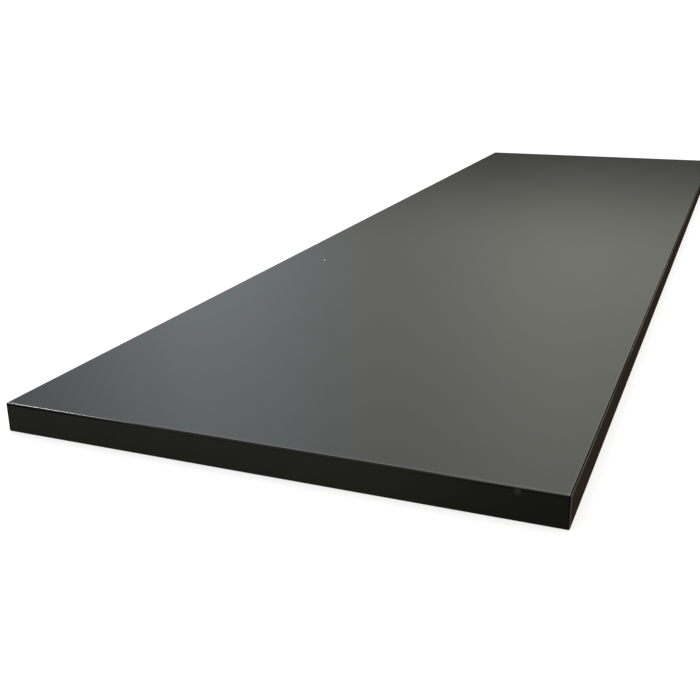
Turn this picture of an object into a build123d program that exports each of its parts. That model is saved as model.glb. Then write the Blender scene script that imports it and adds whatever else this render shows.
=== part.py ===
from build123d import *
import os

# A square-edged laminate worktop for standard base cabinets, as one uncut length.
# A chipboard board is faced with laminate on top and a thin balancing sheet underneath.
# The faced board is cut square, and a solid plastic strip is then glued to each of its four edges.
# The end strips go on first, so the front and back strips lap over them at the corners.
# Last, the outer arrises and corners of the strips are rounded over in one pass.
#
# Lengths are in millimetres. X runs along the worktop, from its left end to its right end.
# Y runs from the front edge to the back edge, which goes against the wall. Z is up.
# The origin is the centre of the underside.

# Finished size, over the strips
overall_length = 2100.0
overall_depth = 600.0
overall_thickness = 33.0

# Sheets that the board is faced with
top_laminate_thickness = 0.8
backing_sheet_thickness = 0.5

# Edge strips
edge_strip_thickness = 2.0
arris_radius = 1.8

# The faced board, which fills the space between the strips
board_length = overall_length - 2 * edge_strip_thickness
board_depth = overall_depth - 2 * edge_strip_thickness
core_bottom = backing_sheet_thickness
core_top = overall_thickness - top_laminate_thickness


def board_layer(bottom, top):
    """One layer of the faced board, between two heights above the underside."""
    layer = Box(board_length, board_depth, top - bottom, align=(Align.CENTER, Align.CENTER, Align.MIN))
    return Pos(0, 0, bottom) * layer


def make_core_board():
    """Chipboard core, glued face to face to the sheets above and below it."""
    return board_layer(core_bottom, core_top)


def make_top_laminate():
    """Decorative laminate, whose upper face is the worktop's surface."""
    return board_layer(core_top, overall_thickness)


def make_backing_sheet():
    """Thin balancing sheet under the core, which keeps the board from bowing."""
    return board_layer(0, core_bottom)


def rounded_slab():
    """The worktop's finished outline as one slab, with every outer arris and corner rounded."""
    slab = Box(
        overall_length,
        overall_depth,
        overall_thickness,
        align=(Align.CENTER, Align.CENTER, Align.MIN),
    )
    # The rounding stays within the strip, so that the cutter never reaches the laminate
    radius = min(arris_radius, edge_strip_thickness)
    return fillet(slab.edges(), radius)


def trimmed_strip(outline, length_x, length_y, centre_x, centre_y):
    """The piece of the rounded slab that one edge strip fills, as high as the board is thick."""
    blank = Box(
        length_x,
        length_y,
        overall_thickness,
        align=(Align.CENTER, Align.CENTER, Align.MIN),
    )
    return outline & (Pos(centre_x, centre_y, 0) * blank)


def make_long_strip(outline, side):
    """Front (side -1) or back (side 1) strip, which covers the edges of both end strips."""
    centre_y = side * (board_depth + edge_strip_thickness) / 2
    return trimmed_strip(outline, overall_length, edge_strip_thickness, 0, centre_y)


def make_end_strip(outline, side):
    """Left (side -1) or right (side 1) end strip, held between the front and back strips."""
    centre_x = side * (board_length + edge_strip_thickness) / 2
    return trimmed_strip(outline, edge_strip_thickness, board_depth, centre_x, 0)


def write_piece(name, shape):
    """Write one piece's solid to its own file, and print its size and volume."""
    solid = shape.solid()
    solid.label = name
    export_step(solid, f"parts/{name}.step")
    size = solid.bounding_box().size
    print(f"{name}: {size.X:.1f} x {size.Y:.1f} x {size.Z:.1f} mm, {solid.volume / 1000:.1f} cm3")


os.makedirs("parts", exist_ok=True)
outline = rounded_slab()
pieces = {
    "core_board": make_core_board(),
    "top_laminate": make_top_laminate(),
    "backing_sheet": make_backing_sheet(),
    "front_edge_strip": make_long_strip(outline, -1),
    "back_edge_strip": make_long_strip(outline, 1),
    "left_end_strip": make_end_strip(outline, -1),
    "right_end_strip": make_end_strip(outline, 1),
}
for name, shape in pieces.items():
    write_piece(name, shape)
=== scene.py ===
# %% [markdown]
# # A matt black laminate worktop
# The object is a straight length of kitchen worktop: a chipboard board with laminate glued on top, a
# balancing sheet glued below, and a plastic strip glued to each edge. The solids come from a packed
# CAD model, and this script dresses them: it gives every piece its finish, and makes the strips again
# with finer edges. Nothing is moved or resized.
# Everything is in metres. X runs along the length, Y from the front edge to the wall edge, Z is up.

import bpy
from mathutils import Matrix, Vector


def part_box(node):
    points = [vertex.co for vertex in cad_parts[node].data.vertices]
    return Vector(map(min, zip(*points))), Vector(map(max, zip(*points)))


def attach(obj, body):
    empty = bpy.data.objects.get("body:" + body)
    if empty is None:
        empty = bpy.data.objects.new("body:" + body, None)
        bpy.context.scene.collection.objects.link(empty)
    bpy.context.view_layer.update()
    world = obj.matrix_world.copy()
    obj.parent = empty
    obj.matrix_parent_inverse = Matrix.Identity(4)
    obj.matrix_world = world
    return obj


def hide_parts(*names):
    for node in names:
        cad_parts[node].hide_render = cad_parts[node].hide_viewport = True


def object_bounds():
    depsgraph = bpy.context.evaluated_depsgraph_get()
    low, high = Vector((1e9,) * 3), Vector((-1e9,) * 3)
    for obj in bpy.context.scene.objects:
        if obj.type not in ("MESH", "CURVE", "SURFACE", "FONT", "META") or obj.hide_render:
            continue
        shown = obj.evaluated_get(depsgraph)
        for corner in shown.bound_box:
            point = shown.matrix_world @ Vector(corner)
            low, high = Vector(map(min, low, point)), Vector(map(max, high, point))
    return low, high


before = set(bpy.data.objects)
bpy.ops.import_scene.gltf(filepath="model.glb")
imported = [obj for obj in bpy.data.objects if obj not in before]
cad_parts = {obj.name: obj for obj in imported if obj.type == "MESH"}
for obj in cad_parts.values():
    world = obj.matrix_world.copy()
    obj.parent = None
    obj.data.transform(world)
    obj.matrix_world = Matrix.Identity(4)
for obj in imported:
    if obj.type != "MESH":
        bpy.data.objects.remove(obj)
cad_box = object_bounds()
print("nodes:", sorted(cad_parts))
print("CAD box:", [tuple(round(value, 4) for value in corner) for corner in cad_box])

# %% [markdown]
# ## Tools
# bpy makes Blender's objects, lamps and materials, bmesh builds a mesh point by point, and mathutils has
# vectors and turns. The rest is plain trigonometry.

# %% Tools
from math import cos, pi, radians, sin

import bmesh
import bpy
from mathutils import Matrix, Vector

print("Blender", bpy.app.version_string)

# %% [markdown]
# ## Sizes
# Nearly every size that the dressing needs can be read from the frame: the outer box gives the
# worktop's half length, half depth and thickness, and the step from there to the laminate's edge is
# the strip. Reading them keeps the dressing right if the model changes. The radius of the rounded
# arris can't be read from a box, so it is named again.

# %% Sizes from the frame
half_length = cad_box[1].x
half_depth = cad_box[1].y
thickness = cad_box[1].z
laminate_low, laminate_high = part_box("top_laminate")
strip_thickness = half_depth - laminate_high.y
arris_radius = 0.0018
print("half length", round(half_length, 4), "half depth", round(half_depth, 4))
print("thickness", round(thickness, 4))
print("strip", round(strip_thickness, 5), "laminate", round(thickness - laminate_low.z, 5))

# %% [markdown]
# ## Camera
# The worktop is seen from near its left end, a little in front of its front edge and looking down
# along it. A camera can be aimed at a target, or turned by three angles. Angles are used here,
# because the picture leans by a fraction of a degree, and a target alone can't give that lean.
# Nothing is shifted and nothing is out of focus.

# %% Camera
camera_place = Vector((-1.7993, -0.4097, 0.4186))
heading = radians(22.525)
look_down = radians(18.962)
picture_lean = radians(0.751)
lens_mm = 49.96
sensor_mm = 36
quarter_turn = pi / 2


def put_in_scene(thing):
    """Links an object to the scene, because a new object is in none."""
    bpy.context.scene.collection.objects.link(thing)
    return thing


def make_camera():
    data = bpy.data.cameras.new("camera")
    data.lens = lens_mm
    data.sensor_width = sensor_mm
    camera = put_in_scene(bpy.data.objects.new("camera", data))
    turn = Matrix.Rotation(heading - quarter_turn, 4, "Z")
    tip = Matrix.Rotation(quarter_turn - look_down, 4, "X")
    roll = Matrix.Rotation(-picture_lean, 4, "Z")
    camera.matrix_world = Matrix.Translation(camera_place) @ turn @ tip @ roll
    bpy.context.scene.camera = camera
    return camera


camera = make_camera()
camera_turn = camera.matrix_world.to_3x3()
print("camera looks along", [round(value, 4) for value in camera_turn @ Vector((0, 0, -1))])
print("camera's right is", [round(value, 4) for value in camera_turn @ Vector((1, 0, 0))])

# %% [markdown]
# ## Nodes from code
# A material can be drawn by hand in the node editor. A script builds the same tree, and builds it the
# same way each time. Three helpers keep it readable: one adds a node, one feeds an input, and one
# feeds several inputs by name.

# %% Adding and feeding nodes
def add_node(tree, kind, **properties):
    """A new node, with its properties set by name."""
    node = tree.nodes.new(kind)
    for name, value in properties.items():
        setattr(node, name, value)
    return node


def feed(source, target):
    """Gives an input its value: a socket is linked to it, and a plain number or colour is set."""
    if isinstance(source, bpy.types.NodeSocket):
        target.id_data.links.new(source, target)
    else:
        target.default_value = source


def set_inputs(node, **values):
    """Feeds inputs by name, with an underscore for each space in the name."""
    for name, value in values.items():
        feed(value, node.inputs[name.replace("_", " ")])
    return node


print("helpers: add_node, feed, set_inputs")

# %% [markdown]
# ## Numbers in a tree
# Where a finish starts and ends is arithmetic on numbers that change over the surface. A Math node
# does one operation, and a Map Range node fades from one value to another between two places. Its
# smooth step is used for nearly all fades, because a real stain or worn band has no hard limit.

# %% Arithmetic and fades
def maths(tree, operation, *operands):
    """A Math node's result. Each operand is a socket or a number."""
    node = add_node(tree, "ShaderNodeMath", operation=operation)
    for operand, target in zip(operands, node.inputs):
        feed(operand, target)
    return node.outputs[0]


def fade(tree, value, start, end, first, last, kind="SMOOTHSTEP"):
    """A value that goes from first to last while the given one goes from start to end."""
    node = add_node(tree, "ShaderNodeMapRange", interpolation_type=kind)
    set_inputs(node, Value=value, From_Min=start, From_Max=end, To_Min=first, To_Max=last)
    return node.outputs[0]


print("helpers: maths, fade")

# %% [markdown]
# ## Groups
# An effect that several materials share is built once, as a node group with named inputs and outputs,
# and is then placed in each material with values of its own. Copies of its nodes would look the same,
# but every change would have to be made in each copy.

# %% Making and placing groups
FLOAT = "NodeSocketFloat"
COLOR = "NodeSocketColor"
VECTOR = "NodeSocketVector"


def new_group(name, inputs, outputs):
    """An empty shader group, with inputs as name: (type, default) and outputs as name: type."""
    group = bpy.data.node_groups.new(name, "ShaderNodeTree")
    for socket_name, (socket_type, default) in inputs.items():
        socket = group.interface.new_socket(socket_name, in_out="INPUT", socket_type=socket_type)
        if default is not None:
            socket.default_value = default
    for socket_name, socket_type in outputs.items():
        group.interface.new_socket(socket_name, in_out="OUTPUT", socket_type=socket_type)
    start = add_node(group, "NodeGroupInput")
    end = add_node(group, "NodeGroupOutput")
    return group, start.outputs, end.inputs


def place_group(tree, group, **values):
    """One use of a group in a material, with its own values."""
    return set_inputs(add_node(tree, "ShaderNodeGroup", node_tree=group), **values)


print("helpers: new_group, place_group")

# %% [markdown]
# ## Effect: handling marks
# A matt surface is never evenly matt. Wiping and handling leave broad, soft patches that are a little
# smoother, drawn out along the length. Painting them as colour looks like dirt, so the effect only
# changes roughness: a slow noise moves it a little up and down. The laminate, the strips and the sheet
# below all need it, so it is a group.

# %% Group: handling marks
wiped_along = (0.35, 1.0, 1.0)
noise_middle = 0.5


def stretched(tree, place, factors):
    """A place with each of its coordinates multiplied. A factor below 1 draws a texture out."""
    node = add_node(tree, "ShaderNodeVectorMath", operation="MULTIPLY")
    feed(place, node.inputs[0])
    feed(factors, node.inputs[1])
    return node.outputs[0]


def noise(tree, place, **values):
    """A soft random value between 0 and 1 for each place."""
    return set_inputs(add_node(tree, "ShaderNodeTexNoise"), Vector=place, **values).outputs["Fac"]


def make_handling_marks():
    inputs = {
        "Position": (VECTOR, None),
        "Patch Size": (FLOAT, 0.15),
        "Roughness": (FLOAT, 0.5),
        "Spread": (FLOAT, 0.06),
    }
    group, given, result = new_group("Handling marks", inputs, {"Roughness": FLOAT})
    place = stretched(group, given["Position"], wiped_along)
    frequency = maths(group, "DIVIDE", 1.0, given["Patch Size"])
    patches = noise(group, place, Scale=frequency, Detail=3.0, Roughness=0.55, Distortion=0.4)
    centred = maths(group, "SUBTRACT", patches, noise_middle)
    change = maths(group, "MULTIPLY", centred, given["Spread"])
    feed(maths(group, "ADD", given["Roughness"], change), result["Roughness"])
    return group


handling_marks = make_handling_marks()
print("group", handling_marks.name, "of", len(handling_marks.nodes), "nodes")

# %% [markdown]
# ## Effect: pebbled skin
# Matt laminate is pressed against a textured plate, and plastic strip is rolled with a fine grain.
# Both leave a skin of tiny rounded bumps. The bumps could be displaced geometry, but at a fraction of
# a millimetre that would take millions of faces, so the group gives a height for a Bump node: small
# cells for the pebbles, over a slower swell that keeps them from looking stamped.

# %% Group: pebbled skin
# How often the swell repeats, as a share of how often the pebbles do
swell_frequency = 0.3


def make_pebbled_skin():
    inputs = {
        "Position": (VECTOR, None),
        "Grain Size": (FLOAT, 0.0006),
        "Unevenness": (FLOAT, 0.35),
    }
    group, given, result = new_group("Pebbled skin", inputs, {"Height": FLOAT})
    frequency = maths(group, "DIVIDE", 1.0, given["Grain Size"])
    pebbles = add_node(group, "ShaderNodeTexVoronoi", feature="SMOOTH_F1")
    set_inputs(pebbles, Vector=given["Position"], Scale=frequency, Smoothness=0.7, Randomness=1.0)
    raised = maths(group, "SUBTRACT", 1.0, pebbles.outputs["Distance"])
    slower = maths(group, "MULTIPLY", frequency, swell_frequency)
    swell = noise(group, given["Position"], Scale=slower, Detail=2.0, Roughness=0.5)
    rolling = maths(group, "MULTIPLY", swell, given["Unevenness"])
    feed(maths(group, "ADD", raised, rolling), result["Height"])
    return group


pebbled_skin = make_pebbled_skin()
print("group", pebbled_skin.name, "of", len(pebbled_skin.nodes), "nodes")

# %% [markdown]
# ## Mixing colours
# Dust, wear and dirt are all one colour laid over another, as much as a mask says. A colour ramp
# could do it, but its colours are fixed. A Mix node also takes a colour that another node made, so
# one layer can go over the next.

# %% Mixing colours
# A Mix node has sockets for each kind of data, and these are the numbers of those for colours
mix_first = 6
mix_second = 7
mix_result = 2


def mix_colors(tree, factor, first, second):
    """A colour between two. Each of the two is a socket or a colour."""
    node = add_node(tree, "ShaderNodeMix", data_type="RGBA")
    feed(factor, node.inputs["Factor"])
    feed(first, node.inputs[mix_first])
    feed(second, node.inputs[mix_second])
    return node.outputs[mix_result]


print("helper: mix_colors")

# %% [markdown]
# ## Effect: dust
# A black surface shows every grain of dust. Grains could be scattered as tiny meshes, but they are
# too small to have a shape. A Voronoi texture scatters them instead: each cell holds one grain, and
# the cell's random colour decides whether it shows and how large it is.

# %% Group: dust
# The smallest grain, as a share of the size given as Grain. The largest is 1 more.
smallest_grain = 0.4


def make_dust():
    inputs = {
        "Position": (VECTOR, None),
        "Clean Color": (COLOR, (0.01, 0.01, 0.01, 1)),
        "Dust Color": (COLOR, (0.2, 0.19, 0.17, 1)),
        "Spacing": (FLOAT, 0.03),
        "Grain": (FLOAT, 0.0004),
        "Share": (FLOAT, 0.25),
    }
    group, given, result = new_group("Dust", inputs, {"Color": COLOR})
    cells = add_node(group, "ShaderNodeTexVoronoi", feature="F1")
    set_inputs(cells, Vector=given["Position"], Scale=maths(group, "DIVIDE", 1.0, given["Spacing"]))
    chance = add_node(group, "ShaderNodeSeparateColor")
    feed(cells.outputs["Color"], chance.inputs["Color"])
    away = maths(group, "MULTIPLY", cells.outputs["Distance"], given["Spacing"])
    size = maths(group, "ADD", chance.outputs["Green"], smallest_grain)
    near = maths(group, "LESS_THAN", away, maths(group, "MULTIPLY", given["Grain"], size))
    chosen = maths(group, "LESS_THAN", chance.outputs["Red"], given["Share"])
    mask = maths(group, "MULTIPLY", near, chosen)
    feed(mix_colors(group, mask, given["Clean Color"], given["Dust Color"]), result["Color"])
    return group


dust = make_dust()
print("group", dust.name, "of", len(dust.nodes), "nodes")

# %% [markdown]
# ## Effect: lean
# Wear on a rounded arris follows the way the surface faces: a scraper held at one angle touches one
# band of it. The wear could be drawn by position, but then it would slip off the arris at a corner.
# Drawn by angle it stays right all the way round. The group measures the angle to an axis.

# %% Group: lean
def make_lean():
    inputs = {
        "Normal": (VECTOR, None),
        "Axis": (VECTOR, (0, 1, 0)),
    }
    group, given, result = new_group("Lean", inputs, {"Degrees": FLOAT})
    along = add_node(group, "ShaderNodeVectorMath", operation="DOT_PRODUCT")
    feed(given["Normal"], along.inputs[0])
    feed(given["Axis"], along.inputs[1])
    cosine = maths(group, "MINIMUM", maths(group, "ABSOLUTE", along.outputs["Value"]), 1.0)
    feed(maths(group, "DEGREES", maths(group, "ARCCOSINE", cosine)), result["Degrees"])
    return group


lean_angle = make_lean()
print("group", lean_angle.name, "of", len(lean_angle.nodes), "nodes")

# %% [markdown]
# ## Starting a material
# Every finish here is one Principled shader, and only what feeds it differs. A finish that is worn in
# one spot has to know where it is. Texture Coordinate gives the place on the piece in metres, and the
# way the surface faces. Neither depends on the camera, so the wear stays on the object.

# %% Material helpers
def new_material(name):
    """A material with an empty tree, a Principled shader and an output."""
    material = bpy.data.materials.new(name)
    material.use_nodes = True
    tree = material.node_tree
    tree.nodes.clear()
    shader = add_node(tree, "ShaderNodeBsdfPrincipled")
    output = add_node(tree, "ShaderNodeOutputMaterial")
    feed(shader.outputs[0], output.inputs["Surface"])
    return material, tree, shader


def object_position(tree):
    """Where a surface point is on the object, in metres."""
    return add_node(tree, "ShaderNodeTexCoord").outputs["Object"]


def object_normal(tree):
    """Which way a surface point faces, in the object's own directions."""
    return add_node(tree, "ShaderNodeTexCoord").outputs["Normal"]


def split_axes(tree, vector):
    """The X, Y and Z of a vector, as three sockets."""
    node = add_node(tree, "ShaderNodeSeparateXYZ")
    feed(vector, node.inputs[0])
    return node.outputs


def dress(piece, material):
    """Gives a piece one material, in place of any that it has."""
    piece.data.materials.clear()
    piece.data.materials.append(material)


print("helpers: new_material, object_position, object_normal, split_axes, dress")

# %% [markdown]
# ## Skin and marks on a shader
# The laminate and the strips both get handling marks and a pebbled skin, only finer or coarser. Two
# helpers place those groups, so that each material says just its own sizes, and a third turns a
# height into a bump. The skin is a hundredth of a millimetre deep: a deeper one glitters where the
# real surface has an even sheen.

# %% Bump, marks and skin
skin_depth = 0.00001


def add_bump(shader, height, depth):
    """Feeds a height through a Bump node, with depth in metres, into the shader."""
    bump = add_node(shader.id_data, "ShaderNodeBump")
    set_inputs(bump, Height=height, Strength=1.0, Distance=depth)
    feed(bump.outputs[0], shader.inputs["Normal"])


def add_marks(shader, place, **values):
    """Gives the shader a roughness with handling marks."""
    marks = place_group(shader.id_data, handling_marks, Position=place, **values)
    feed(marks.outputs["Roughness"], shader.inputs["Roughness"])


def add_skin(shader, place, grain_size):
    """Gives the shader a pebbled skin."""
    skin = place_group(shader.id_data, pebbled_skin, Position=place, Grain_Size=grain_size)
    add_bump(shader, skin.outputs["Height"], skin_depth)


print("helpers: add_bump, add_marks, add_skin")

# %% [markdown]
# ## Laminate: colour
# The surface is a melamine film over paper, nearly black. Two things show as colour: a painted highlight,
# a paler line along the laminate's edges where they catch the light, with a paler painted glint where two
# edges meet, and one larger speck of dust lies towards the wall side. They could be pieces of their own,
# but they have no thickness to speak of, so they are painted by their place.

# %% Laminate's colour
matt_black = (0.0125, 0.0125, 0.0112, 1)
# Painted highlight along the laminate's edges, and a painted glint where two edges meet
painted_edge_highlight = (0.052, 0.051, 0.046, 1)
painted_corner_glint = (0.30, 0.29, 0.26, 1)
speck_color = (0.66, 0.66, 0.63, 1)
speck_place = (-0.348, 0.2357, 0.033)
speck_size = 0.0038
end_highlight_width = 0.0045
side_highlight_width = 0.0020
# A fade is written as (from, to, value before it, value after it), here along the depth
end_highlight_towards_wall = (0.08, 0.22, 1.0, 0.1)


def away_from(tree, place, center):
    """The distance of a surface point from a fixed place, in metres."""
    node = add_node(tree, "ShaderNodeVectorMath", operation="DISTANCE")
    feed(place, node.inputs[0])
    feed(center, node.inputs[1])
    return node.outputs["Value"]


def edge_highlight_mask(tree, coordinate, edge, width):
    """1 at the laminate's edge, falling to 0 within the width, from one coordinate."""
    return fade(tree, maths(tree, "ABSOLUTE", coordinate), edge - width, edge, 0.0, 1.0)


def laminate_color(tree, place):
    """The laminate's black with its dust, a painted highlight along its edges, a painted glint at its
    corners and the larger speck.
    """
    axes = split_axes(tree, place)
    grains = place_group(tree, dust, Position=place, Clean_Color=matt_black, Spacing=0.045, Share=0.2)
    at_ends = edge_highlight_mask(tree, axes["X"], laminate_high.x, end_highlight_width)
    at_ends = maths(tree, "MULTIPLY", at_ends, fade(tree, axes["Y"], *end_highlight_towards_wall))
    at_sides = edge_highlight_mask(tree, axes["Y"], laminate_high.y, side_highlight_width)
    highlighted = maths(tree, "MAXIMUM", at_ends, at_sides)
    # The painted edge highlight, then the painted corner glint over it
    color = mix_colors(tree, highlighted, grains.outputs["Color"], painted_edge_highlight)
    color = mix_colors(tree, maths(tree, "MULTIPLY", at_ends, at_sides), color, painted_corner_glint)
    on_speck = maths(tree, "LESS_THAN", away_from(tree, place, speck_place), speck_size / 2)
    return mix_colors(tree, on_speck, color, speck_color)


print("laminate's black", matt_black[:3], "with a speck", speck_size, "m wide")

# %% [markdown]
# ## Laminate: finish
# A black surface lives by what it reflects. The real one feels matt, but it gives a soft sheen at low
# angles, where it mirrors the room as a grey. More colour would only make it look dusty, so the grey
# comes from a fairly low roughness over the pebbled skin.

# %% Black laminate
laminate_grain = 0.0009


def make_black_laminate():
    material, tree, shader = new_material("black_laminate")
    place = object_position(tree)
    feed(laminate_color(tree, place), shader.inputs["Base Color"])
    add_marks(shader, place, Patch_Size=0.16, Roughness=0.188, Spread=0.03)
    add_skin(shader, place, laminate_grain)
    return material


black_laminate = make_black_laminate()
dress(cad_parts["top_laminate"], black_laminate)
print("material", black_laminate.name, "of", len(black_laminate.node_tree.nodes), "nodes")

# %% [markdown]
# ## Edging: film and painted shade
# The strips are solid dyed plastic. A film of dust greys them a little. Towards the front they darken,
# which is painted shade, and the front face has a browner tint, which is a painted reflection of a warm
# floor. The film could be a shell round the strip, but only its tone shows, so it is a fade along the
# depth.

# %% Film on the edging
dusty_black = (0.0235, 0.0235, 0.0187, 1)
# Painted shade: the darker colour towards the front
shaded_black = (0.0128, 0.0134, 0.0108, 1)
# Painted reflection: a browner tint for the warm floor mirrored in the front face
warm_reflection_black = (0.0295, 0.0234, 0.0163, 1)
# Where the painted shade comes in, along the depth
shade_towards_front = (-0.06, -0.30, 0.0, 1.0)


def dust_and_shade_color(tree, depth, front_color):
    """The dusty colour at the wall side, fading to a given painted colour at the front edge."""
    return mix_colors(tree, fade(tree, depth, *shade_towards_front), dusty_black, front_color)


print("edging film from", dusty_black[:3], "to", shaded_black[:3], "and", warm_reflection_black[:3])

# %% [markdown]
# ## Edging: scuff and grain
# Plastic strip is rolled with a fine grain that breaks up reflections, so its flat faces look dead
# black. That is why its specular level is zero and its skin is finer than the laminate's. Below the
# near arris something rubbed against the strip, and left a faint patch of broken scratches. A noise
# that is cut off by distance gives that without drawing each scratch.

# %% Scuff and grain of the edging
scuff_color = (0.036, 0.036, 0.032, 1)
scuff_place = (-1.05, -0.2536, 0.0293)
scuff_by_distance = (0.0015, 0.0048, 1.0, 0.0)
scuff_by_noise = (0.35, 0.6, 0.15, 1.0)
scratches_per_metre = 700.0
edging_grain = 0.0005


def scuffed(tree, place, color):
    """A colour with the scuff drawn over it."""
    broken = fade(tree, noise(tree, place, Scale=scratches_per_metre, Detail=2.0), *scuff_by_noise)
    patch = fade(tree, away_from(tree, place, scuff_place), *scuff_by_distance)
    return mix_colors(tree, maths(tree, "MULTIPLY", patch, broken), color, scuff_color)


def finish_edging(shader, place, color):
    """Puts dust and the scuff over a colour, and gives the strip its matt, rolled skin."""
    tree = shader.id_data
    grains = place_group(tree, dust, Position=place, Clean_Color=color, Spacing=0.05, Share=0.15)
    feed(scuffed(tree, place, grains.outputs["Color"]), shader.inputs["Base Color"])
    add_marks(shader, place, Patch_Size=0.09, Roughness=0.7, Spread=0.08)
    add_skin(shader, place, edging_grain)
    set_inputs(shader, Specular_IOR_Level=0.0)


print("scuff at", scuff_place, "and a grain of", edging_grain, "m")

# %% [markdown]
# ## Long strips: the painted reflection on the arris
# After a strip is glued, its arris is rounded. The pale band beside the outer face is a painted
# reflection: it stands for the bright floor beyond, mirrored in the lower part of the rounding. Along the
# front edge it is missing in one stretch, and browner or paler in others, and a noise breaks it up finely.
# It could be cut as a facet, but it is only about a millimetre wide and lies flush, so it is a colour that
# changes along the length.

# %% Tones of the painted reflection
# Painted reflection: the pale line where the arris mirrors the bright floor beyond
reflection_grey = (0.112, 0.098, 0.082, 1)
reflection_gap_dark = (0.052, 0.043, 0.030, 1)
reflection_brown = (0.178, 0.148, 0.106, 1)
reflection_pale = (0.165, 0.161, 0.145, 1)
# From where to where along the strip each next tone comes in
reflection_stretches = (
    (-0.83, -0.77, reflection_gap_dark),
    (-0.70, -0.61, reflection_brown),
    (-0.15, -0.06, reflection_grey),
    (0.06, 0.17, reflection_pale),
)
reflection_breaks_per_metre = 45.0
reflection_breaks_by_noise = (0.35, 0.6, 0.35, 0.0)


def color_by_stretches(tree, along, color, stretches):
    """A colour that changes to the next one over each stretch (from, to, next colour)."""
    for start, end, next_color in stretches:
        color = mix_colors(tree, fade(tree, along, start, end, 0.0, 1.0), color, next_color)
    return color


def painted_reflection_color(tree, place, along):
    """The painted reflection's tone along the strip, broken up finely by a noise."""
    color = color_by_stretches(tree, along, reflection_grey, reflection_stretches)
    gaps = fade(tree, noise(tree, place, Scale=reflection_breaks_per_metre, Detail=2.0), *reflection_breaks_by_noise)
    return mix_colors(tree, gaps, color, reflection_gap_dark)


print("scraped band with", len(reflection_stretches), "changes of tone")

# %% [markdown]
# ## Long strips: from the face to the laminate
# Across the arris come the outer face with its film and painted tint, the pale painted reflection, a
# darker band of painted reflection where the rounding mirrors the dim low room, and a dark line of glue at
# the laminate. The first three follow the lean of the surface, in degrees from the outward axis, so that
# they turn the upright corners too, where the band lies a little nearer to the face. The glue line follows
# its place, because it is a joint and not wear.

# %% Long edging
band_start = 22
band_end = 55
band_softness = 5
upright_shift = 9
# How far the surface has to face endways before the band shifts, and before it shifts fully
endways_from = 0.05
endways_full = 0.25
glue_line = (0.004, 0.0025, 0.001, 1)
glue_line_width = 0.0009


def past_angle(tree, angle, limit):
    """0 below a limit in degrees and 1 above it, with a soft change."""
    return fade(tree, angle, limit - band_softness, limit + band_softness, 0.0, 1.0)


def make_long_edging():
    material, tree, shader = new_material("long_edging")
    place = object_position(tree)
    axes = split_axes(tree, place)
    normal = object_normal(tree)
    lean = place_group(tree, lean_angle, Normal=normal, Axis=(0, 1, 0))
    endways = maths(tree, "ABSOLUTE", split_axes(tree, normal)["X"])
    shift = fade(tree, endways, endways_from, endways_full, 0.0, upright_shift)
    angle = maths(tree, "ADD", lean.outputs["Degrees"], shift)
    # The outer face with painted shade and the painted warm reflection towards the front
    outer = dust_and_shade_color(tree, axes["Y"], warm_reflection_black)
    # Painted reflection: the band next to the laminate is darker, as the rounding mirrors the dim low room
    dark_reflection = dust_and_shade_color(tree, axes["Y"], shaded_black)
    reflected = painted_reflection_color(tree, place, axes["X"])
    color = mix_colors(tree, past_angle(tree, angle, band_start), outer, reflected)
    color = mix_colors(tree, past_angle(tree, angle, band_end), color, dark_reflection)
    from_seam = maths(tree, "SUBTRACT", maths(tree, "ABSOLUTE", axes["Y"]), laminate_high.y)
    seam = fade(tree, from_seam, glue_line_width / 2, glue_line_width, 1.0, 0.0)
    finish_edging(shader, place, mix_colors(tree, seam, color, glue_line))
    return material


long_edging = make_long_edging()
print("material", long_edging.name, "with a band from", band_start, "to", band_end, "degrees")

# %% [markdown]
# ## End strips: the polished band
# On the end strips the worn band lies next to the laminate. Near the corners, where the board is carried,
# hands have polished it, and a thin dark line of painted shade lies just below it, as strong as the polish
# there. A polished skin over dull plastic is what a coat is for. Its weight may change over the surface,
# so one material is enough. Towards the front the strip is darker, which is painted shade.

# %% End edging
buffed_black = (0.022, 0.021, 0.018, 1)
# Painted shade: a thin dark line under the polished band
painted_dark_line = (0.004, 0.004, 0.0035, 1)
polish_by_lean = (50, 60, 0.0, 1.0)
polish_towards_wall = (0.06, 0.25, 0.0, 1.0)
polish_towards_front = (-0.14, -0.24, 0.0, 0.5)
dark_line_by_lean = (12, 30, 1.0, 0.0)
# How far below the rounding the painted dark line begins, and where it is full
dark_line_from = 0.0011
dark_line_full = 0.0004
least_dark_line = 0.2


def make_end_edging():
    material, tree, shader = new_material("end_edging")
    place = object_position(tree)
    axes = split_axes(tree, place)
    lean = place_group(tree, lean_angle, Normal=object_normal(tree), Axis=(1, 0, 0))
    band = fade(tree, lean.outputs["Degrees"], *polish_by_lean)
    at_wall = fade(tree, axes["Y"], *polish_towards_wall)
    at_front = fade(tree, axes["Y"], *polish_towards_front)
    handled = maths(tree, "MAXIMUM", at_wall, at_front)
    # Darker towards the front: painted shade
    color = mix_colors(tree, band, dust_and_shade_color(tree, axes["Y"], shaded_black), buffed_black)
    face_top = thickness - arris_radius
    high = fade(tree, axes["Z"], face_top - dark_line_from, face_top - dark_line_full, 0.0, 1.0)
    line = maths(tree, "MULTIPLY", high, fade(tree, lean.outputs["Degrees"], *dark_line_by_lean))
    # The painted dark line is strongest where the band is polished
    shade_line = maths(tree, "MULTIPLY", line, maths(tree, "MAXIMUM", handled, least_dark_line))
    finish_edging(shader, place, mix_colors(tree, shade_line, color, painted_dark_line))
    feed(maths(tree, "MULTIPLY", band, handled), shader.inputs["Coat Weight"])
    set_inputs(shader, Coat_Roughness=0.2, Coat_IOR=1.8)
    return material


end_edging = make_end_edging()
print("material", end_edging.name, "polished from", polish_by_lean[1], "degrees up")

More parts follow.
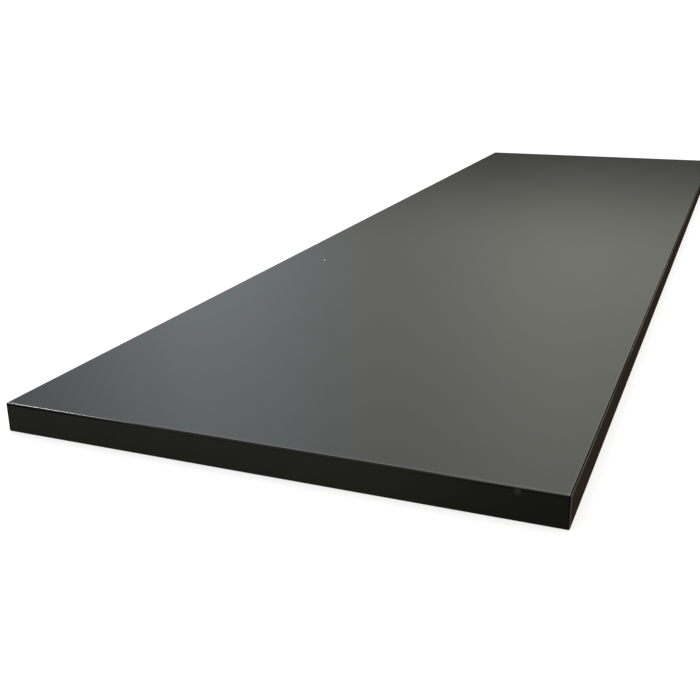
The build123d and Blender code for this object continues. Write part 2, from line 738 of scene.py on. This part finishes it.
# %% [markdown]
# ## Material: chipboard
# The core is pressed from chips of wood. It is sealed in on every side, but it is a piece of its own
# and is finished as one. Chips could be modelled, but nobody would see them, so Voronoi cells in
# several tones of straw and brown stand for the flakes.

# %% Chipboard
dark_flake = (0.22, 0.13, 0.06, 1)
light_flake = (0.62, 0.45, 0.26, 1)
flakes_per_metre = 420.0
flake_relief = 0.0003


def color_between(tree, value, dark, light, dark_until=0.0, light_from=1.0):
    """A colour from a ramp between two, for a value from 0 to 1."""
    ramp = add_node(tree, "ShaderNodeValToRGB")
    for element, position, color in zip(ramp.color_ramp.elements, (dark_until, light_from), (dark, light)):
        element.position = position
        element.color = color
    feed(value, ramp.inputs[0])
    return ramp.outputs[0]


def make_chipboard():
    material, tree, shader = new_material("chipboard")
    flakes = add_node(tree, "ShaderNodeTexVoronoi", feature="F1")
    set_inputs(flakes, Vector=object_position(tree), Scale=flakes_per_metre)
    chance = add_node(tree, "ShaderNodeSeparateColor")
    feed(flakes.outputs["Color"], chance.inputs["Color"])
    tone = color_between(tree, chance.outputs["Red"], dark_flake, light_flake)
    set_inputs(shader, Base_Color=tone, Roughness=0.85)
    add_bump(shader, flakes.outputs["Distance"], flake_relief)
    return material


chipboard = make_chipboard()
dress(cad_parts["core_board"], chipboard)
print("material", chipboard.name, "of", len(chipboard.node_tree.nodes), "nodes")

# %% [markdown]
# ## Material: balancing sheet
# The sheet below is plain resin-soaked brown paper. Its fibres lie along the roll, so the tone runs
# in short streaks along the length. A noise drawn out along X gives the fibres, and a much slower one
# adds the broad bands of a roll of paper.

# %% Balancing sheet
dark_paper = (0.11, 0.062, 0.032, 1)
light_paper = (0.20, 0.12, 0.066, 1)
dark_paper_until = 0.3
light_paper_from = 0.7
fibre_frequency = (60.0, 900.0, 900.0)
band_frequency = 0.05
fibre_relief = 0.00004


def make_balancing_paper():
    material, tree, shader = new_material("balancing_paper")
    place = object_position(tree)
    along_roll = stretched(tree, place, fibre_frequency)
    fibres = noise(tree, along_roll, Scale=1.0, Detail=4.0, Roughness=0.6)
    bands = noise(tree, along_roll, Scale=band_frequency, Detail=3.0, Roughness=0.6)
    both = maths(tree, "MULTIPLY", maths(tree, "ADD", fibres, bands), 0.5)
    tone = color_between(tree, both, dark_paper, light_paper, dark_paper_until, light_paper_from)
    feed(tone, shader.inputs["Base Color"])
    add_marks(shader, place, Patch_Size=0.2, Roughness=0.6, Spread=0.12)
    add_bump(shader, fibres, fibre_relief)
    return material


balancing_paper = make_balancing_paper()
dress(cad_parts["backing_sheet"], balancing_paper)
print("material", balancing_paper.name, "of", len(balancing_paper.node_tree.nodes), "nodes")

# %% [markdown]
# ## Strips: the section
# Each strip starts as a flat plastic band, two millimetres thick, and ends with its outer arrises
# rounded and a hair of chamfer at the seam. A cube with a Bevel modifier would come close. Here the
# strip is swept instead, because one drawn section gives the exact rounding and the seam together.

# %% Section of a strip
arc_steps = 8
seam_chamfer = 0.00012


def strip_section(inset, lip):
    """The outline of a strip at one station, as (distance out from the seam, height) pairs."""
    radius = arris_radius - inset
    centre_out = strip_thickness - arris_radius
    top = thickness - inset
    points = [(lip, top - seam_chamfer), (lip + seam_chamfer, top)]
    for step in range(arc_steps + 1):
        angle = quarter_turn * (1 - step / arc_steps)
        points.append((centre_out + radius * cos(angle), thickness - arris_radius + radius * sin(angle)))
    for step in range(arc_steps + 1):
        angle = -quarter_turn * step / arc_steps
        points.append((centre_out + radius * cos(angle), arris_radius + radius * sin(angle)))
    points += [(lip + seam_chamfer, inset), (lip, inset + seam_chamfer)]
    return points


print("a strip's section has", len(strip_section(0, 0)), "points")

# %% [markdown]
# ## Strips: the stations
# The section is repeated at stations along the strip. Near the ends of the long strips it shrinks
# along a quarter circle, which rounds the upright corners into small spheres. The end strips are cut
# square between the long ones, so their section stays the same. Stations every two centimetres keep
# the faces from being long slivers, which shade badly.

# %% Stations along a strip
station_spacing = 0.02


def long_stations(half_run):
    """(place along the strip, inset, lip) for a strip with rounded ends."""
    ends = []
    for step in range(arc_steps + 1):
        angle = quarter_turn * step / arc_steps
        along = half_run - arris_radius + arris_radius * sin(angle)
        inset = arris_radius * (1 - cos(angle))
        ends.append((along, inset, max(0.0, seam_chamfer - (half_run - along))))
    dark_reflection = half_run - arris_radius
    count = round(2 * dark_reflection / station_spacing)
    middle = [(-dark_reflection + 2 * dark_reflection * i / count, 0.0, 0.0) for i in range(1, count)]
    return [(-along, inset, lip) for along, inset, lip in reversed(ends)] + middle + ends


def plain_stations(half_run):
    """The same for a strip that is cut square, between two others."""
    count = round(2 * half_run / station_spacing)
    return [(-half_run + 2 * half_run * i / count, 0.0, 0.0) for i in range(count + 1)]


print("a long strip has", len(long_stations(half_length)), "stations")

# %% [markdown]
# ## Strips: faces and shading
# Each section is joined to the next with four-sided faces, and both ends are closed, so that the
# strip is a solid body. Where the section shrinks to a point, doubled points are merged. Edges with a
# bend of more than 30 degrees are marked sharp, and everything else is shaded smooth, because a
# rounding cut by a tool has no facets.

# %% Faces and shading of a sweep
merge_distance = 1e-7
sliver_length = 1e-8
sharp_bend = radians(30)


def close_sweep(shape, rings):
    """Joins each ring of points to the next with faces, and closes both ends."""
    for first, second in zip(rings, rings[1:]):
        for i in range(len(first)):
            j = (i + 1) % len(first)
            shape.faces.new((first[i], first[j], second[j], second[i]))
    shape.faces.new(rings[0])
    shape.faces.new(reversed(rings[-1]))


def clean_and_shade(shape):
    """Merges doubled points, turns every face outwards, and sets what is smooth."""
    bmesh.ops.remove_doubles(shape, verts=shape.verts, dist=merge_distance)
    bmesh.ops.dissolve_degenerate(shape, edges=shape.edges, dist=sliver_length)
    bmesh.ops.recalc_face_normals(shape, faces=shape.faces)
    for face in shape.faces:
        face.smooth = True
    for edge in shape.edges:
        edge.smooth = edge.calc_face_angle(pi) < sharp_bend


print("edges that bend more than", round(sharp_bend, 3), "radians are sharp")

# %% [markdown]
# ## Strips: the sweep
# Real strip is pushed through one die, and this one is made much like it: the section is set down at
# each station, and the stations become one mesh. The four strips lie along different lines, so a
# small function that is handed in says where a point of the section goes.

# %% Sweep a strip
def sweep_strip(name, stations, put):
    """A closed mesh from the section at each station. put(along, out, height) gives the point."""
    shape = bmesh.new()
    rings = []
    for along, inset, lip in stations:
        section = strip_section(inset, lip)
        rings.append([shape.verts.new(put(along, out, height)) for out, height in section])
    close_sweep(shape, rings)
    clean_and_shade(shape)
    mesh = bpy.data.meshes.new(name)
    shape.to_mesh(mesh)
    shape.free()
    return put_in_scene(bpy.data.objects.new(name, mesh))


print("helper: sweep_strip")

# %% [markdown]
# ## The four strips
# The front and back strips run the full length and cover the ends of the two end strips. Each strip
# replaces the solid of its own node, and the long and the end strips each get their own edging. The
# Weighted Normal modifier keeps the flat faces flat right up to the rounding.

# %% The four strips
seam_y = half_depth - strip_thickness
seam_x = half_length - strip_thickness
strips = {
    "front_strip": (
        "front_edge_strip",
        long_edging,
        long_stations(half_length),
        lambda along, out, height: (along, -seam_y - out, height),
    ),
    "back_strip": (
        "back_edge_strip",
        long_edging,
        long_stations(half_length),
        lambda along, out, height: (along, seam_y + out, height),
    ),
    "left_strip": (
        "left_end_strip",
        end_edging,
        plain_stations(seam_y),
        lambda along, out, height: (-seam_x - out, along, height),
    ),
    "right_strip": (
        "right_end_strip",
        end_edging,
        plain_stations(seam_y),
        lambda along, out, height: (seam_x + out, along, height),
    ),
}
for piece_name, (node_name, edging, stations, put) in strips.items():
    piece = sweep_strip(piece_name, stations, put)
    dress(piece, edging)
    even_shading = piece.modifiers.new("even shading", "WEIGHTED_NORMAL")
    even_shading.keep_sharp = True
    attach(piece, "root")
    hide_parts(node_name)
    print(piece_name, len(piece.data.vertices), "points,", len(piece.data.polygons), "faces")

# %% [markdown]
# ## Floor: shape
# The floor is plain and pale. A plane would do, but this one is open under the worktop, so that the
# underside is lit and can be looked at from below. It is a flat frame of four faces round the hole,
# and the hole ends just inside the worktop's outline, so that it never shows from above.

# %% Floor
floor_reach = 80.0
floor_drop = 0.0001
hole_margin = 0.003


def add_stage_mesh(name, points, faces):
    """A mesh that belongs to the studio, not to the worktop."""
    mesh = bpy.data.meshes.new(name)
    mesh.from_pydata(points, [], faces)
    thing = put_in_scene(bpy.data.objects.new(name, mesh))
    return thing


def make_floor():
    hole_x = half_length - hole_margin
    hole_y = half_depth - hole_margin
    signs = ((-1, -1), (1, -1), (1, 1), (-1, 1))
    outer = [(x * floor_reach, y * floor_reach, -floor_drop) for x, y in signs]
    dark_reflection = [(x * hole_x, y * hole_y, -floor_drop) for x, y in signs]
    corners = len(signs)
    faces = [(i, (i + 1) % corners, corners + (i + 1) % corners, corners + i) for i in range(corners)]
    return add_stage_mesh("floor", outer + dark_reflection, faces)


floor = make_floor()
print("floor of", len(floor.data.polygons), "faces round the worktop")

# %% [markdown]
# ## Floor: finish
# The picture needs a white floor that still takes the worktop's shadow. More light would turn it
# white, but would spoil the object. So a little glow is added to the floor's own lit colour, only for
# rays from the camera and from reflections, and it lights nothing. From below the floor is clear.

# %% Floor's material
white = (1, 1, 1, 1)
floor_grey = (0.5, 0.5, 0.5, 1)
floor_glow = 0.64


def seen_directly(tree):
    """1 for rays that come from the camera, a reflection or clear material, and 0 for light."""
    path = add_node(tree, "ShaderNodeLightPath")
    shown = maths(tree, "MAXIMUM", path.outputs["Is Camera Ray"], path.outputs["Is Glossy Ray"])
    return maths(tree, "MAXIMUM", shown, path.outputs["Is Transmission Ray"])


def mix_shaders(tree, factor, first, second):
    """One shader or another, as two outputs and a factor from 0 to 1."""
    mix = add_node(tree, "ShaderNodeMixShader")
    for source, target in zip((factor, first.outputs[0], second.outputs[0]), mix.inputs):
        feed(source, target)
    return mix.outputs[0]


def make_floor_material():
    material, tree, shader = new_material("floor")
    set_inputs(shader, Base_Color=floor_grey, Roughness=1.0, Specular_IOR_Level=0.0)
    glow = maths(tree, "MULTIPLY", seen_directly(tree), floor_glow)
    set_inputs(shader, Emission_Color=white, Emission_Strength=glow)
    clear = add_node(tree, "ShaderNodeBsdfTransparent")
    below = add_node(tree, "ShaderNodeNewGeometry").outputs["Backfacing"]
    output = next(node for node in tree.nodes if node.type == "OUTPUT_MATERIAL")
    feed(mix_shaders(tree, below, shader, clear), output.inputs["Surface"])
    return material


dress(floor, make_floor_material())
print("floor's glow", floor_glow, "over a grey of", floor_grey[0])

# %% [markdown]
# ## Sky
# A worktop is photographed in soft light from all round. A plain sky gives that evenly. It is white
# where it is seen, but lights the object a little less than a full white would, so that no surface
# washes out.

# %% Sky
sky_level = 0.75


def make_sky():
    world = bpy.data.worlds.new("sky")
    world.use_nodes = True
    tree = world.node_tree
    tree.nodes.clear()
    light = set_inputs(add_node(tree, "ShaderNodeBackground"), Color=white, Strength=sky_level)
    shown = set_inputs(add_node(tree, "ShaderNodeBackground"), Color=white, Strength=1.0)
    output = add_node(tree, "ShaderNodeOutputWorld")
    feed(mix_shaders(tree, seen_directly(tree), light, shown), output.inputs["Surface"])
    bpy.context.scene.world = world
    return world


sky = make_sky()
print(sky.name, "lights at", sky_level, "and is seen as white")

# %% [markdown]
# ## The room in the reflections: ring
# Seen at a low angle, black laminate is a dim mirror, so its grey is the grey of the room. A
# photographed panorama would give that, but a plain ring round the set is enough: only reflections
# see it, and it lights nothing. Like the floor, it belongs to the studio and not to the worktop.

# %% Ring round the set
ring_radius = 8.0
ring_height = 6.0
ring_sides = 96


def make_ring():
    points = []
    for side in range(ring_sides):
        angle = 2 * pi * side / ring_sides
        foot = (ring_radius * cos(angle), ring_radius * sin(angle))
        points += [(*foot, 0.0), (*foot, ring_height)]
    count = 2 * ring_sides
    faces = [(i, (i + 2) % count, (i + 3) % count, i + 1) for i in range(0, count, 2)]
    ring = add_stage_mesh("ring", points, faces)
    ring.visible_camera = False
    ring.visible_diffuse = False
    ring.visible_shadow = False
    return ring


ring = make_ring()
print("ring of", len(ring.data.polygons), "panels, seen only in reflections")

# %% [markdown]
# ## The room in the reflections: glow
# A room is dark near the floor, dim at the height of a table and brighter towards the ceiling. Its
# wall side has two windows, with a darker piece of wall between them, and the light beside them turns
# from warm to a greenish glass tone to cool. All of that is laid on the ring by place: the height sets
# how strong it glows, and the side decides how much of that is left and which tint it has.

# %% Strength of the glow
# Fades over the height on the ring, in metres
glow_when_low = (1.27, 1.65, 0.0, 0.68)
glow_when_high = (2.0, 4.8, 0.0, 0.30)
# Fades over the side, in metres. Where there is a lift, the glow begins that much lower down.
lift_before_windows = (1.8, 2.6, 0.0, 0.07)
lift_at_windows = (3.3, 4.6, 0.0, 0.2)
dimmer_in_front = (-2.5, 1.5, 0.66, 1.0)
dimmer_far_back = (4.6, 6.4, 1.0, 0.5)
between_windows = 3.0
wall_by_distance = (0.0, 1.9, 1.0, 0.0)
wall_by_height = (1.6, 3.2, 0.32, 0.21)


def glow_strength(tree, side, above_floor):
    """How strong the ring glows at a side and at a height above the floor."""
    lift = maths(tree, "ADD", fade(tree, side, *lift_before_windows), fade(tree, side, *lift_at_windows))
    height = maths(tree, "ADD", above_floor, lift)
    low = fade(tree, height, *glow_when_low, "LINEAR")
    level = maths(tree, "ADD", low, fade(tree, height, *glow_when_high))
    level = maths(tree, "MULTIPLY", level, fade(tree, side, *dimmer_in_front))
    away = maths(tree, "ABSOLUTE", maths(tree, "SUBTRACT", side, between_windows))
    near_wall = fade(tree, away, *wall_by_distance)
    wall = maths(tree, "MULTIPLY", near_wall, fade(tree, height, *wall_by_height))
    level = maths(tree, "MULTIPLY", level, maths(tree, "SUBTRACT", 1.0, wall))
    return maths(tree, "MULTIPLY", level, fade(tree, side, *dimmer_far_back))


print("glow of up to", glow_when_low[3] + glow_when_high[3])

# %% [markdown]
# ## The room in the reflections: tint
# The tints are pale, because a black surface takes on the colour of what it mirrors at full strength.
# They go on Emission Color, and the strength goes on Emission Strength, so each can be changed alone.

# %% Tint of the glow
warm_glow = (0.98, 1.0, 0.88, 1)
plain_glow = (0.955, 0.965, 0.940, 1)
glass_glow = (0.875, 0.972, 0.975, 1)
cool_glow = (0.93, 0.95, 1.0, 1)
glow_stretches = (
    (1.7, 2.8, plain_glow),
    (3.2, 3.9, glass_glow),
    (4.8, 5.5, cool_glow),
)
black = (0, 0, 0, 1)


def make_ring_material():
    material, tree, shader = new_material("ring")
    axes = split_axes(tree, object_position(tree))
    tint = color_by_stretches(tree, axes["Y"], warm_glow, glow_stretches)
    strength = glow_strength(tree, axes["Y"], axes["Z"])
    set_inputs(shader, Base_Color=black, Roughness=1.0, Specular_IOR_Level=0.0)
    set_inputs(shader, Emission_Color=tint, Emission_Strength=strength)
    return material


dress(ring, make_ring_material())
print("glow with", len(glow_stretches), "changes of tint")

# %% [markdown]
# ## Lamps
# A large soft lamp overhead gives the even studio light. A small square one on the wall side stands
# for a window, and draws the line of light on the near arris. A low, warm one in front stands for
# light thrown back by the room, and it is kept out of reflections so that it leaves no spot. Point
# lamps would give hard shadows, so all three are area lamps.

# %% Lamps
def make_soft_light(name, place, target, size, power, color):
    """A rectangular lamp that shines from one place towards another."""
    data = bpy.data.lights.new(name, "AREA")
    data.shape = "RECTANGLE"
    data.size, data.size_y = size
    data.energy = power
    data.color = color
    lamp = put_in_scene(bpy.data.objects.new(name, data))
    lamp.location = place
    lamp.rotation_euler = (Vector(target) - Vector(place)).to_track_quat("-Z", "Y").to_euler()
    print("lamp", name, "of", power, "watts")
    return lamp


make_soft_light(
    "overhead",
    place=(0, 0, 3.0),
    target=(0, 0, 0),
    size=(4.4, 3.2),
    power=34,
    color=(1, 1, 1),
)
make_soft_light(
    "window",
    place=(-0.12, 2.10, 2.22),
    target=(-1.05, 0.27, 0.03),
    size=(0.5, 0.5),
    power=21,
    color=(0.97, 0.99, 1.0),
)
room_light = make_soft_light(
    "room",
    place=(-0.6, -2.6, 0.6),
    target=(-0.6, -0.3, 0),
    size=(1.6, 0.8),
    power=10,
    color=(1, 0.62, 0.38),
)
room_light.visible_glossy = False

# %% [markdown]
# ## View
# The Standard view shows colours as they are written, where a film look would bend them.

# %% View
scene = bpy.context.scene
scene.view_settings.view_transform = "Standard"
print("view transform:", scene.view_settings.view_transform)
